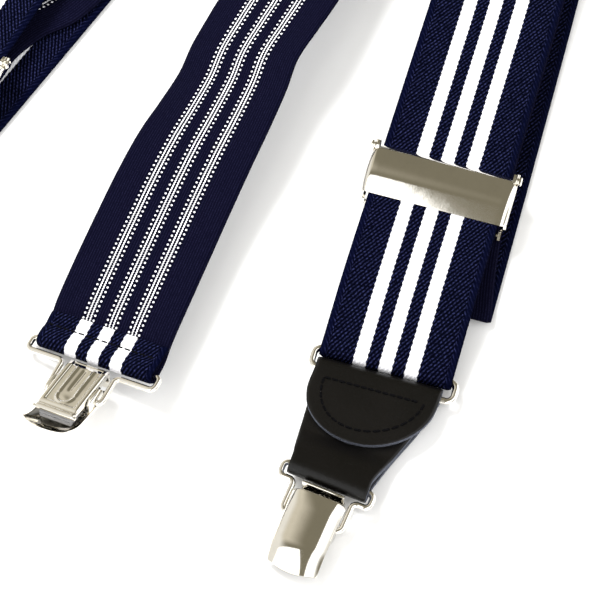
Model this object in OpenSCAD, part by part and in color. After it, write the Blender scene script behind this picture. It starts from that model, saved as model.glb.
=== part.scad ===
// Y-back suspenders, laid flat and folded in a zigzag.
// Units are millimetres. The origin is the middle of the yoke's underside.
// +Y runs from the clips towards the yoke's top, +X to the right, +Z up.

/* [Webbing] */
// Width of the elastic webbing
web_w = 35; // [30:1:40]
// Thickness of the webbing
web_t = 1.3; // [1.1:0.1:1.4]

/* [Leather] */
// Thickness of the tab leather
tab_t = 1.7; // [1.5:0.1:1.7]
// Width of the tab where it holds the ring
tab_top_w = 33; // [30:0.5:33]
// Width of the tab where it holds the clip
tab_low_w = 21.2; // [18:0.2:21.2]
// Thickness of each yoke leather
yoke_t = 1.8; // [1.4:0.1:1.8]

/* [Hardware] */
// Radius of the ring's wire
ring_wire_r = 0.9; // [0.7:0.1:0.9]
// Radius of the clip bails' wire, which is also the clips' pivot
bail_wire_r = 0.8; // [0.7:0.05:0.8]
// Width of a clip's front plate
plate_w = 13.8; // [13.2:0.1:14]
// Running clearance round each pin
pin_gap = 0.05; // [0.03:0.01:0.08]

/* [Hidden] */
$fn = 32;

navy = [0.06, 0.07, 0.2];
black = [0.07, 0.07, 0.07];
nickel = [0.75, 0.73, 0.68];
grey = [0.6, 0.6, 0.62];

web_hw = web_w / 2;
// Middle heights of the stacked layers
z_layer3 = web_t / 2;
low_fold_r = 0.75;
z_layer2 = z_layer3 + 2 * low_fold_r;
z_layer1 = 8.3;
z_yoke_strap = yoke_t + 0.1 + web_t / 2;

// Ring, with one bar in the strap and one in the tab
ring_z = 2.9;
ring_half_h = 2.75;
ring_half_w = 18.8;
ring_corner_r = 1.9;
loop_r = ring_wire_r + 0.2 + web_t / 2;

// Places of the two rings: [x, y, lean of the strap in degrees], left one mirrored
ring_right = [70.1, -291.7, 8];
ring_left = [80.9, -312.1, 3.4];

// Adjuster: how far its middle is above the ring's middle, and its own sizes
adj_y = 55;
adj_bar_y = -9.2;
adj_bar_z = 5.2 - z_layer1;
adj_bar_r = 0.75;
adj_cover_hw = 19.75;
adj_ear_x = 18.2;
adj_wall_t = 0.7;
adj_side_gap = 0.15;
adj_pin_y = 5.3;
adj_pin_z = 1.9;
adj_pin_r = 0.8;
cover_r = 10.5;
cover_mid = [-0.8, -6.3];
bar_loop_r = adj_bar_r + 0.15 + web_t / 2;

// Tab: where its two folds are, from the ring's middle, and how it is turned at the lower one
tab_low_y = -31.8;
tab_top_x = -0.7;
tab_shift = -5.2;
tab_turn = -6.5;
tab_low_z = 4.25;
tab_loop_r = ring_wire_r + 0.2 + tab_t / 2;
tab_low_loop_r = bail_wire_r + 0.2 + tab_t / 2;
flap_end_y = -21.5;

// Clip, about its pivot: the bail's bar, its runs and its side wires
bail_bar_y = 12.2;
bail_run_y = 8.3;
bail_side_x = 8;
bail_bend_r = 1.4;
front_bail_hw = 12.1;
back_bail_hw = 18.9;
plate_top_y = 6.2;
plate_tip_y = -14.4;
plate_t = 0.8;
plate_flare = 0.12;
ear_in_x = 6.05;
ear_out_x = 6.8;
jaw_hw = 5.75;
jaw_lip_hw = 6.3;
jaw_t = 0.7;
front_tilt = 3;
back_bail_tilt = -3;
back_clip_tilt = -20;

// Back hem: [x, y, z] of the bail's bar, its turn and roll, and the folded end
hem_bar = [2, -319.1, 6.4];
hem_turn = -1;
hem_roll = 13;
hem_hw = 17.2;
hem_loop_r = bail_wire_r + 0.2 + web_t / 2;
hem_tail = 8;
hem_seam_y = 4;

// ---------- Ribbons ----------

// A ribbon's middle line holds [x, y, z, turn, roll] at each place
function up_dir(turn) = [-sin(turn), cos(turn), 0];
function across(turn, roll) = [cos(turn) * cos(roll), sin(turn) * cos(roll), sin(roll)];
function above(turn, roll) = [-cos(turn) * sin(roll), -sin(turn) * sin(roll), cos(roll)];
function xyz(p) = [p[0], p[1], p[2]];
function spline(a, b, c, d, t) =
    0.5 * (2 * b + (c - a) * t + (2 * a - 5 * b + 4 * c - d) * t * t + (3 * b - a - 3 * c + d) * t * t * t);
function smooth_run(pts, n) = [
    for (i = [0 : len(pts) - 2]) for (k = [0 : n - 1])
        spline(pts[max(i - 1, 0)], pts[i], pts[i + 1], pts[min(i + 2, len(pts) - 1)], k / n),
    pts[len(pts) - 1]
];
// A half turn about an axis that lies across the ribbon, from angle a0 to a1,
// where 0 points along way * up_dir and 90 points off the ribbon's upper side
function half_turn(mid, turn, roll, r, way, a0, a1, n) = [
    for (k = [0 : n])
        let (
            a = a0 + (a1 - a0) * k / n,
            c = xyz(mid) + r * (cos(a) * way * up_dir(turn) + sin(a) * above(turn, roll))
        )
        [c.x, c.y, c.z, turn, roll]
];
function unit(v) = v / norm(v);

// One closed solid from two edge lines and a thickness
module ribbon_solid(left, right, t) {
    n = len(left);
    mid = (left + right) / 2;
    nrm = [for (i = [0 : n - 1])
        unit(cross(right[i] - left[i], mid[min(i + 1, n - 1)] - mid[max(i - 1, 0)]))];
    pts = [for (i = [0 : n - 1]) each [
        left[i] + nrm[i] * t / 2, right[i] + nrm[i] * t / 2,
        right[i] - nrm[i] * t / 2, left[i] - nrm[i] * t / 2]];
    faces = concat(
        [[0, 1, 2, 3]],
        [for (i = [0 : n - 2]) for (k = [0 : 3])
            let (a = 4 * i + k, b = 4 * i + (k + 1) % 4) [a, a + 4, b + 4, b]],
        [[for (k = [3 : -1 : 0]) 4 * (n - 1) + k]]
    );
    polyhedron(points = pts, faces = faces, convexity = 10);
}

// A ribbon along a middle line, with one half width or a list of them
module ribbon(line, hw, t) {
    w = [for (i = [0 : len(line) - 1]) is_list(hw) ? hw[i] : hw];
    ribbon_solid(
        [for (i = [0 : len(line) - 1]) xyz(line[i]) - w[i] * across(line[i][3], line[i][4])],
        [for (i = [0 : len(line) - 1]) xyz(line[i]) + w[i] * across(line[i][3], line[i][4])],
        t);
}

// ---------- Front straps ----------

// A place on the straight run of layer 1: y above the ring's middle, height z
function on_strap(ring, y, z) =
    let (d = up_dir(ring[2])) [ring[0] + y * d.x, ring[1] + y * d.y, z, ring[2], 0];

// Layer 3 from the yoke to the lower fold, layer 2 up to the top fold
right_layer3 = [
    [17.2, -18, z_yoke_strap, 20, 0], [21.4, -30, z_yoke_strap, 19, 0], [24.9, -40.5, z_yoke_strap, 18, 0],
    [29.3, -54, 1.4, 17, 0], [38.5, -85, z_layer3, 15, 0], [49.5, -130, z_layer3, 11, 0], [56.5, -170, z_layer3, 9, 0],
    [65.2, -225, z_layer3, 9, 0], [71.8, -268, z_layer3, 9, 0]
];
right_layer2 = [
    [71.8, -268, z_layer2, 9, 0], [67, -253, z_layer2, 12, 0], [61, -226, z_layer2, 9, 0],
    [55.4, -187, z_layer2, 8, 0], [49.8, -150, z_layer2, 9, 0], [43, -112, z_layer2 + 0.3, 11, 0],
    [37, -84, z_layer2 + 1, 13, 0]
];
right_layer1 = [
    [37, -84, 12.6, 13, 0], [43, -110, 12.4, 12, 0], [49.4, -146, 10, 10, 0],
    on_strap(ring_right, 113, z_layer1), on_strap(ring_right, 90, z_layer1),
    on_strap(ring_right, 60, z_layer1), on_strap(ring_right, 26, z_layer1),
    on_strap(ring_right, 12, 6.2)
];
left_layer3 = [
    [17.2, -18, z_yoke_strap, 20, 0], [21.4, -30, z_yoke_strap, 19, 0], [24.9, -40.5, z_yoke_strap, 18, 0],
    [29.3, -54, 1.4, 17, 0], [38, -85, z_layer3, 14, 0], [47.5, -130, z_layer3, 10, 0], [54.5, -170, z_layer3, 9, 0],
    [62.6, -219, z_layer3, 9, 0], [70.9, -268, z_layer3, 8, 0], [74, -286, z_layer3, 8, 0]
];
left_layer2 = [
    [74, -286, z_layer2, 8, 0], [77, -268, z_layer2, 4, 0], [77.4, -248, z_layer2, 4, 0],
    [73, -234, z_layer2, 12, 0], [65.4, -222, z_layer2, 14, 0], [58.5, -196, z_layer2, 12, 0],
    [52, -160, z_layer2, 10, 0], [46, -124, z_layer2 + 0.3, 10, 0], [40.5, -92, z_layer2 + 1, 11, 0]
];
left_layer1 = [
    [40.5, -92, 12.6, 11, 0], [46.5, -118, 12.4, 13, 0], [56, -150, 10.2, 14, 0],
    [67, -183, 8.7, 9, 0], on_strap(ring_left, 112, z_layer1), on_strap(ring_left, 88, z_layer1),
    on_strap(ring_left, 55, z_layer1), on_strap(ring_left, 26, z_layer1),
    on_strap(ring_left, 12, 6.2)
];

function strap_line(layer3, layer2, layer1, ring) =
    let (
        low = layer2[0], top = layer2[len(layer2) - 1], bar = on_strap(ring, ring_half_h, ring_z),
        top_r = (layer1[0][2] - top[2]) / 2,
        last = [bar[0], bar[1], ring_z + loop_r, ring[2], 0]
    )
    concat(
        smooth_run(layer3, 6),
        half_turn([low[0], low[1], (z_layer2 + z_layer3) / 2], low[3], 0, low_fold_r, -1, -70, 70, 6),
        smooth_run(layer2, 6),
        half_turn([top[0], top[1], top[2] + top_r], top[3], 0, top_r, 1, -72, 72, 8),
        smooth_run(concat(layer1, [last]), 5),
        half_turn(bar, ring[2], 0, loop_r, -1, 78, -90, 10)
    );

module front_strap(layer3, layer2, layer1, ring) {
    color(navy) ribbon(strap_line(layer3, layer2, layer1, ring), web_hw, web_t);
}

// The strap's own end, from under the ring back up to the adjuster's bar
function return_line(ring) =
    let (
        bar = on_strap(ring, adj_y + adj_bar_y, z_layer1 + adj_bar_z),
        low = bar[2] - bar_loop_r
    )
    concat(
        smooth_run([
            on_strap(ring, ring_half_h + 0.05, ring_z - loop_r), on_strap(ring, 8, ring_z - loop_r + 0.6),
            on_strap(ring, 16, low - 0.5), on_strap(ring, 21, low), on_strap(ring, 34, low),
            on_strap(ring, adj_y + adj_bar_y - 1, low)], 4),
        half_turn(bar, ring[2], 0, bar_loop_r, 1, -90, 90, 10),
        [on_strap(ring, adj_y + adj_bar_y - 2, bar[2] + bar_loop_r),
            on_strap(ring, adj_y + adj_bar_y - 4.5, bar[2] + bar_loop_r)]
    );

module strap_return(ring) {
    color(navy) ribbon(return_line(ring), web_hw - 0.2, web_t);
}

// ---------- Back strap ----------

back_run = [
    [1.5, -308, 6.3, 0, 12], [0.8, -296, 7.2, 0, 11], [-0.1, -280, 7.6, 0, 11], [-0.7, -266, 8.2, 0, 12],
    [-0.8, -254, 9, 0, 14.5], [-0.6, -243, 9, 0, 19], [-0.7, -232, 8.8, 0, 23], [-1.2, -223, 10.4, 0, 24.5],
    [-0.3, -213, 11.4, 0, 22.5], [0.2, -204, 11.2, 0, 20], [0.2, -188, 11.8, 0, 12], [0, -150, 13, 0, 3],
    [0, -100, 10.5, 0, 0], [0, -40, 8.4, 0, 0], [0, 20, 8.2, 0, 0], [0, 50, 8.1, 0, 0]
];
back_fold_r = (8.1 - z_yoke_strap) / 2;
hem_up = up_dir(hem_turn);
// A place y up the strap from the bail's bar and z off the strap
function hem_at(y, z) =
    let (p = hem_bar + y * hem_up + z * above(hem_turn, hem_roll)) [p.x, p.y, p.z, hem_turn, hem_roll];
hem_line = concat(
    [hem_at(hem_tail, hem_loop_r - 0.7), hem_at(hem_tail - 2, hem_loop_r - 0.65),
        hem_at(hem_seam_y, hem_loop_r - 0.8), hem_at(2, hem_loop_r - 0.25)],
    half_turn(hem_bar, hem_turn, hem_roll, hem_loop_r, -1, 90, -90, 10),
    [hem_at(2, -hem_loop_r + 0.15)]
);
back_line = concat(
    hem_line,
    smooth_run(concat([hem_at(5, -hem_loop_r + 0.5)], back_run), 5),
    half_turn([0, 50, z_yoke_strap + back_fold_r], 0, 0, back_fold_r, 1, 78, -90, 8),
    [[0, 44, z_yoke_strap, 0, 0], [0, 20, z_yoke_strap, 0, 0], [0, -2, z_yoke_strap, 0, 0]]
);
back_hw = [for (p = back_line)
    let (s = min(max((p[1] - hem_bar.y + 3) / 14, 0), 1)) hem_hw + (web_hw - hem_hw) * s];

module back_strap() {
    color(navy) ribbon(back_line, back_hw, web_t);
}

// A row of stitches along x at the place p, on top of the ribbon
module stitch_row(length, pitch, thread) {
    for (x = [-length / 2 + pitch / 2 : pitch : length / 2 - pitch / 2])
        translate([x - pitch * 0.35, -thread / 2, 0]) cube([pitch * 0.7, thread, thread]);
}

module back_hem_stitching() {
    p = hem_at(hem_seam_y, hem_loop_r - 0.8 + web_t / 2 - 0.15);
    color(black) translate(xyz(p)) rotate([0, 0, hem_turn]) rotate([0, -hem_roll, 0])
        stitch_row(2 * hem_hw, 2.4, 0.4);
}

// ---------- Yoke ----------

// Right half of the yoke's outline, from the bottom notch to the top middle
yoke_half = [
    [0, -21], [9, -27], [20, -35.5], [27, -36.5], [35, -33], [38.3, -28], [36, -14], [31, 4],
    [26, 20], [21.5, 33], [19.5, 38], [16, 40], [8, 40.5], [0, 40.5]
];
yoke_outline = concat(
    yoke_half,
    [for (i = [len(yoke_half) - 2 : -1 : 1]) [-yoke_half[i].x, yoke_half[i].y]]
);

module yoke_leather(z) {
    color(black) translate([0, 0, z]) linear_extrude(yoke_t) polygon(yoke_outline);
}

module yoke_stitching() {
    inset = 0.9;
    line = [for (p = yoke_outline) [p.x * inset, 2 + (p.y - 2) * inset]];
    top = 2 * yoke_t + web_t + 0.2;
    color(black) for (i = [0 : len(line) - 1]) {
        a = line[i];
        b = line[(i + 1) % len(line)];
        span = norm(b - a);
        count = floor(span / 2.8);
        for (k = [0 : count - 1])
            translate([each (a + (b - a) * (k + 0.5) / count), top])
                rotate([0, 0, atan2(b.y - a.y, b.x - a.x)])
                    translate([-0.9, -0.25, -0.15]) cube([1.8, 0.5, 0.45]);
    }
}

// ---------- Placing ----------

module at_ring(ring) {
    translate([ring[0], ring[1], ring_z]) rotate([0, 0, ring[2]]) children();
}

module at_adjuster(ring) {
    at_ring(ring) translate([0, adj_y, z_layer1 - ring_z]) children();
}

// The clip's pivot is the origin inside, with +Z towards the front plate
module at_front_clip(ring) {
    at_ring(ring) translate([tab_shift, tab_low_y, tab_low_z - ring_z]) rotate([0, 0, tab_turn])
        rotate([front_tilt, 0, 0]) translate([0, -bail_bar_y, 0]) children();
}

// The back clip lies with its jaw up, tilted by an angle about its pivot
module at_back_pivot(tilt) {
    translate(hem_bar) rotate([0, 0, hem_turn]) rotate([0, -hem_roll, 0]) rotate([back_bail_tilt, 0, 0])
        translate([0, -bail_bar_y, 0]) rotate([tilt - back_bail_tilt, 0, 0]) rotate([0, 180, 0]) children();
}

module at_back_bail() {
    at_back_pivot(back_bail_tilt) children();
}

module at_back_clip() {
    at_back_pivot(back_clip_tilt) children();
}

module left_side() {
    mirror([1, 0, 0]) children();
}

// ---------- Ring ----------

// A quarter of a torus in the XY plane from angle a, wire radius w
module bend(r, w, a, sweep) {
    rotate([0, 0, a]) rotate_extrude(angle = sweep, $fn = 32) translate([r, 0]) circle(r = w);
}

module rod_x(x0, x1, y, w) {
    translate([x0, y, 0]) rotate([0, 90, 0]) cylinder(r = w, h = x1 - x0);
}

module rod_y(y0, y1, x, w) {
    translate([x, y0, 0]) rotate([-90, 0, 0]) cylinder(r = w, h = y1 - y0);
}

module strap_ring() {
    cx = ring_half_w - ring_corner_r;
    cy = ring_half_h - ring_corner_r;
    color(nickel) {
        for (s = [-1, 1]) {
            rod_x(-cx, cx, s * ring_half_h, ring_wire_r);
            rod_y(-cy, cy, s * ring_half_w, ring_wire_r);
            translate([cx, s * cy, 0]) bend(ring_corner_r, ring_wire_r, s > 0 ? 0 : -90, 90);
            translate([-cx, s * cy, 0]) bend(ring_corner_r, ring_wire_r, s > 0 ? 90 : 180, 90);
        }
    }
}

// ---------- Leather tab ----------

function ease(t) = let (s = min(max(t, 0), 1)) s * s * (3 - 2 * s);
// How far down the tab a place is, from 0 at the ring to 1 at the clip
function tab_down(y) = ease((-ring_half_h - y) / (-ring_half_h - tab_low_y));
function tab_place(y, z) =
    [tab_top_x + (tab_shift - tab_top_x) * tab_down(y), y, z, tab_turn * tab_down(y), 0];
function tab_hw(y) =
    tab_top_w / 2 + (tab_low_w - tab_top_w) / 2 * min(max((-ring_half_h - y) / 27, 0), 1);
function flap_hw(y) =
    let (s = min(max((-7 - y) / (-7 - flap_end_y), 0), 1)) tab_top_w / 2 * sqrt(max(1 - s * s, 0.02));

// The flap, from its round end up to the ring's bar
flap_line = [for (k = [0 : 14])
    let (y = flap_end_y + (-ring_half_h - flap_end_y) * (1 - cos(90 * k / 14))) tab_place(y, tab_loop_r)];
tab_low_dz = tab_low_z - ring_z;
tab_low_mid = [tab_shift, tab_low_y, tab_low_dz];
tab_back_run = smooth_run([
    tab_place(-ring_half_h, -tab_loop_r), tab_place(-12, -tab_loop_r), tab_place(-22, -tab_loop_r + 0.4),
    tab_place(tab_low_y, tab_low_dz - tab_low_loop_r)], 5);
tab_front_run = smooth_run([
    tab_place(tab_low_y, tab_low_dz + tab_low_loop_r), tab_place(-28, tab_low_dz + 1.2),
    tab_place(-22.8, 0.25), tab_place(-19, 0), tab_place(-7, 0)], 5);
tab_line = concat(
    flap_line,
    half_turn([tab_top_x, -ring_half_h, 0], 0, 0, tab_loop_r, 1, 78, -78, 10),
    tab_back_run,
    half_turn(tab_low_mid, tab_turn, 0, tab_low_loop_r, -1, -75, 75, 10),
    tab_front_run
);
tab_hws = [for (i = [0 : len(tab_line) - 1])
    i < len(flap_line) ? flap_hw(tab_line[i][1]) : tab_hw(tab_line[i][1])];

module leather_tab() {
    color(black) ribbon(tab_line, tab_hws, tab_t);
}

// The flap's D of stitches: a straight row and a half ellipse
module tab_stitching() {
    top = tab_loop_r + tab_t / 2 - 0.15;
    row_y = -6.2;
    half = 13.2;
    depth = 11.8;
    steps = 17;
    color(black) {
        translate([tab_place(row_y, 0)[0], row_y, top]) stitch_row(2 * half, 1.9, 0.4);
        for (k = [0.5 : 1 : steps])
            let (a = 180 + 180 * k / steps, y = row_y + depth * sin(a))
            translate([half * cos(a) + tab_place(y, 0)[0], y, top])
                rotate([0, 0, atan2(depth * cos(a), -half * sin(a))])
                    translate([-0.65, -0.2, 0]) cube([1.3, 0.4, 0.4]);
    }
}

// ---------- Adjuster ----------

module side_plate(x) {
    translate([x, 0, 0]) rotate([90, 0, 90]) linear_extrude(adj_wall_t) children();
}

module ear_outline() {
    translate([adj_pin_y, adj_pin_z]) circle(r = 1.8);
    polygon([[adj_pin_y - 1.8, adj_pin_z], [adj_pin_y + 1.8, adj_pin_z], [7.1, -1.7], [-9.5, -1.7], [-9.5, -0.9],
        [2, -0.9]]);
    polygon([[-6.5, -0.9], [-6.5, -1.7], [-8.2, -4.3], [-10.4, -4.3], [-10.9, -2.4], [-9.4, -0.9]]);
}

module adjuster_frame() {
    color(nickel) difference() {
        union() {
            translate([-adj_ear_x - adj_wall_t, -5.2, -1.7]) cube([2 * (adj_ear_x + adj_wall_t), 12.3, 0.8]);
            side_plate(adj_ear_x) ear_outline();
            side_plate(-adj_ear_x - adj_wall_t) ear_outline();
            translate([-adj_ear_x - 0.4, adj_bar_y, adj_bar_z]) rotate([0, 90, 0])
                cylinder(r = adj_bar_r, h = 2 * adj_ear_x + 0.8);
        }
        translate([-30, adj_pin_y, adj_pin_z]) rotate([0, 90, 0]) cylinder(r = adj_pin_r, h = 60);
    }
}

module cover_wall_outline() {
    intersection() {
        translate(cover_mid) circle(r = cover_r, $fn = 64);
        translate([-8.4, -0.8]) square([13.9, 7]);
    }
    translate([adj_pin_y, adj_pin_z]) circle(r = 1.6);
}

module adjuster_cover() {
    hole = adj_pin_r + pin_gap;
    color(nickel) difference() {
        union() {
            intersection() {
                translate([-adj_cover_hw, cover_mid.x, cover_mid.y]) rotate([0, 90, 0]) difference() {
                    cylinder(r = cover_r, h = 2 * adj_cover_hw, $fn = 64);
                    translate([0, 0, -1]) cylinder(r = cover_r - 0.8, h = 2 * adj_cover_hw + 2, $fn = 64);
                }
                union() {
                    translate([-25, -12, 0.95]) cube([50, 12, 8]);
                    translate([-25, -1, 1.7]) cube([50, 12, 8]);
                }
            }
            side_plate(adj_cover_hw - adj_wall_t) cover_wall_outline();
            side_plate(-adj_cover_hw) cover_wall_outline();
        }
        translate([-30, adj_pin_y, adj_pin_z]) rotate([0, 90, 0]) cylinder(r = hole, h = 60);
        for (x = [adj_ear_x - adj_side_gap, -adj_ear_x - adj_wall_t - adj_side_gap])
            translate([x, adj_pin_y, adj_pin_z]) rotate([0, 90, 0])
                cylinder(r = 2.1, h = adj_wall_t + 2 * adj_side_gap);
    }
}

module adjuster_pins() {
    color(nickel) for (s = [0, 1]) mirror([s, 0, 0])
        translate([adj_ear_x, adj_pin_y, adj_pin_z]) rotate([0, 90, 0]) {
            cylinder(r = adj_pin_r, h = 1.8);
            translate([0, 0, 1.65]) cylinder(r = 1.3, h = 0.45);
            translate([0, 0, 2.1]) cylinder(r1 = 1.3, r2 = 0.8, h = 0.3);
        }
}

// ---------- Clip ----------

module clip_bail(hw) {
    w = bail_wire_r;
    b = bail_bend_r;
    run = hw - b;
    color(nickel) {
        rod_x(-run, run, bail_bar_y, w);
        for (s = [0, 1]) mirror([s, 0, 0]) {
            translate([run, bail_bar_y - b, 0]) bend(b, w, 0, 90);
            rod_y(bail_run_y + b, bail_bar_y - b, hw, w);
            translate([run, bail_run_y + b, 0]) bend(b, w, 270, 90);
            rod_x(bail_side_x + b, run, bail_run_y, w);
            translate([bail_side_x + b, bail_run_y - b, 0]) bend(b, w, 90, 90);
            rod_y(b, bail_run_y - b, bail_side_x, w);
            translate([bail_side_x - b, b, 0]) bend(b, w, 270, 90);
            rod_x(4.4, bail_side_x - b, 0, w);
        }
    }
}

// Height of the plate's outside at u across (-1 to 1) and y along
function plate_z(u, y) =
    let (d = max(-7 - y, 0)) 3.4 - 0.03 * pow(max(y - 2, 0), 2) - 0.062 * d * d - 0.9 * u * u - 1.1 * pow(u, 6);
function plate_y(u, v) =
    let (tip = plate_tip_y + 1.5 * u * u) plate_top_y + (tip - plate_top_y) * v;

module plate_shell() {
    nu = 16;
    nv = 18;
    hw = plate_w / 2;
    function spot(i, j, drop) = let (u = -1 + 2 * i / nu, v = j / nv, y = plate_y(u, v))
        [(hw + plate_flare * (1 - v)) * u, y, plate_z(u, y) - drop];
    pts = concat(
        [for (j = [0 : nv]) for (i = [0 : nu]) spot(i, j, 0)],
        [for (j = [0 : nv]) for (i = [0 : nu]) spot(i, j, plate_t)]
    );
    m = nu + 1;
    low = m * (nv + 1);
    faces = concat(
        [for (j = [0 : nv - 1]) for (i = [0 : nu - 1]) let (a = j * m + i) each
            [[a, a + 1, a + m], [a + 1, a + m + 1, a + m],
                [low + a, low + a + m, low + a + 1], [low + a + 1, low + a + m, low + a + m + 1]]],
        [for (i = [0 : nu - 1]) each [[i + 1, i, low + i], [i + 1, low + i, low + i + 1]]],
        [for (i = [0 : nu - 1]) let (a = nv * m + i) each [[a, a + 1, low + a], [a + 1, low + a + 1, low + a]]],
        [for (j = [0 : nv - 1]) let (a = j * m) each [[a, a + m, low + a], [a + m, low + a + m, low + a]]],
        [for (j = [0 : nv - 1]) let (a = j * m + nu) each [[a + m, a, low + a], [a + m, low + a, low + a + m]]]
    );
    polyhedron(points = pts, faces = faces, convexity = 6);
}

module wall_yz(x, t) {
    translate([x, 0, 0]) rotate([90, 0, 90]) linear_extrude(t) children();
}

module clip_plate() {
    ear_t = ear_out_x - ear_in_x;
    color(nickel) difference() {
        union() {
            plate_shell();
            for (x = [ear_in_x, -ear_out_x]) wall_yz(x, ear_t) {
                polygon([[-3.6, 1.4], [-3.2, -1.8], [-1.9, -3.1], [1.9, -3.1], [3.2, -1.8], [3.6, 1.4]]);
            }
        }
        translate([-10, 0, 0]) rotate([0, 90, 0]) cylinder(r = bail_wire_r + pin_gap, h = 20);
    }
}

// Side outline of the jaw's floor, from the thumb end to the lip
jaw_floor = [[8.5, -3.3], [6.5, -3.75], [0, -3.35], [-6, -2.8], [-9.3, -2.4]];

module jaw_floor_outline(t) {
    polygon(concat(jaw_floor, [for (i = [len(jaw_floor) - 1 : -1 : 0]) jaw_floor[i] + [0, t]]));
}

module clip_jaw() {
    color(nickel) difference() {
        union() {
            wall_yz(-jaw_hw, 2 * jaw_hw) jaw_floor_outline(jaw_t);
            for (x = [-jaw_hw, jaw_hw - jaw_t]) wall_yz(x, jaw_t) {
                polygon([[8.3, -3.2], [8.2, -2], [3.2, -1], [1.6, 1.1], [-1.6, 1.1], [-3.2, -0.4],
                    [-9, -1.2], [-9.1, -2.3], [0, -3.2], [6.5, -3.6]]);
            }
            translate([-jaw_lip_hw, -9.3, -2.4]) cube([2 * jaw_lip_hw, 0.7, 1.1]);
            translate([-jaw_lip_hw, -9.3, -2.4]) cube([2 * jaw_lip_hw, 4.6, 0.6]);
            translate([-jaw_hw, 8.5 - jaw_t, -3.3]) cube([2 * jaw_hw, jaw_t, 5.5]);
        }
        translate([-10, 0, 0]) rotate([0, 90, 0]) cylinder(r = bail_wire_r + pin_gap, h = 20);
        for (x = [-2.1, 2.1]) translate([x - 0.45, -5.5, -4]) cube([0.9, 11, 0.55]);
    }
}

module grip_pad() {
    color(grey) difference() {
        translate([-4.6, -9.0, -1.75]) cube([9.2, 5.6, 3.1]);
        for (y = [-8.1 : 1.2 : -3.6]) translate([-5, y, 0.95]) cube([10, 0.5, 1]);
        for (z = [-1.0, -0.1]) translate([-5, -9.2, z]) cube([10, 0.45, 0.4]);
    }
}

module jaw_spring() {
    turns = 3;
    per_turn = 14;
    r = 1.9;
    wire = 0.35;
    sides = 6;
    n = turns * per_turn;
    spots = [for (i = [0 : n]) let (a = 360 * i / per_turn) [-1.8 + 3.6 * i / n, r * cos(a), r * sin(a)]];
    pts = [for (i = [0 : n]) for (k = [0 : sides - 1])
        let (a = 360 * i / per_turn, b = 360 * k / sides, out = [0, cos(a), sin(a)])
        spots[i] + wire * (cos(b) * out + sin(b) * [1, 0, 0])];
    faces = concat(
        [[for (k = [0 : sides - 1]) k]],
        [for (i = [0 : n - 1]) for (k = [0 : sides - 1])
            let (a = i * sides + k, b = i * sides + (k + 1) % sides) [a, a + sides, b + sides, b]],
        [[for (k = [sides - 1 : -1 : 0]) n * sides + k]]
    );
    color(nickel) polyhedron(points = pts, faces = faces, convexity = 8);
}

// ---------- Drawing ----------

front_strap(right_layer3, right_layer2, right_layer1, ring_right);  // front_strap_right
left_side() front_strap(left_layer3, left_layer2, left_layer1, ring_left);  // front_strap_left
strap_return(ring_right);  // strap_return_right
left_side() strap_return(ring_left);  // strap_return_left
back_strap();
back_hem_stitching();
yoke_leather(yoke_t + web_t + 0.2);  // yoke_front_leather
yoke_leather(0);  // yoke_back_leather
yoke_stitching();
at_ring(ring_right) strap_ring();  // strap_ring_right
left_side() at_ring(ring_left) strap_ring();  // strap_ring_left
at_ring(ring_right) leather_tab();  // leather_tab_right
left_side() at_ring(ring_left) leather_tab();  // leather_tab_left
at_ring(ring_right) tab_stitching();  // tab_stitching_right
left_side() at_ring(ring_left) tab_stitching();  // tab_stitching_left
at_adjuster(ring_right) adjuster_frame();  // adjuster_frame_right
left_side() at_adjuster(ring_left) adjuster_frame();  // adjuster_frame_left
at_adjuster(ring_right) adjuster_cover();  // adjuster_cover_right
left_side() at_adjuster(ring_left) adjuster_cover();  // adjuster_cover_left
at_adjuster(ring_right) adjuster_pins();  // adjuster_pins_right
left_side() at_adjuster(ring_left) adjuster_pins();  // adjuster_pins_left
at_front_clip(ring_right) clip_bail(front_bail_hw);  // clip_bail_right
left_side() at_front_clip(ring_left) clip_bail(front_bail_hw);  // clip_bail_left
at_back_bail() clip_bail(back_bail_hw);  // clip_bail_back
at_front_clip(ring_right) clip_plate();  // clip_plate_right
left_side() at_front_clip(ring_left) clip_plate();  // clip_plate_left
at_back_clip() clip_plate();  // clip_plate_back
at_front_clip(ring_right) clip_jaw();  // clip_jaw_right
left_side() at_front_clip(ring_left) clip_jaw();  // clip_jaw_left
at_back_clip() clip_jaw();  // clip_jaw_back
at_front_clip(ring_right) grip_pad();  // grip_pad_right
left_side() at_front_clip(ring_left) grip_pad();  // grip_pad_left
at_back_clip() grip_pad();  // grip_pad_back
at_front_clip(ring_right) jaw_spring();  // jaw_spring_right
left_side() at_front_clip(ring_left) jaw_spring();  // jaw_spring_left
at_back_clip() jaw_spring();  // jaw_spring_back
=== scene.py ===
"""Y-back suspenders laid flat in a zigzag fold: striped webbing, leather tabs and nickel-plated hardware."""
import math

import bmesh
import bpy
import numpy as np
from mathutils import Matrix, Vector
from mathutils.geometry import tessellate_polygon


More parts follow.
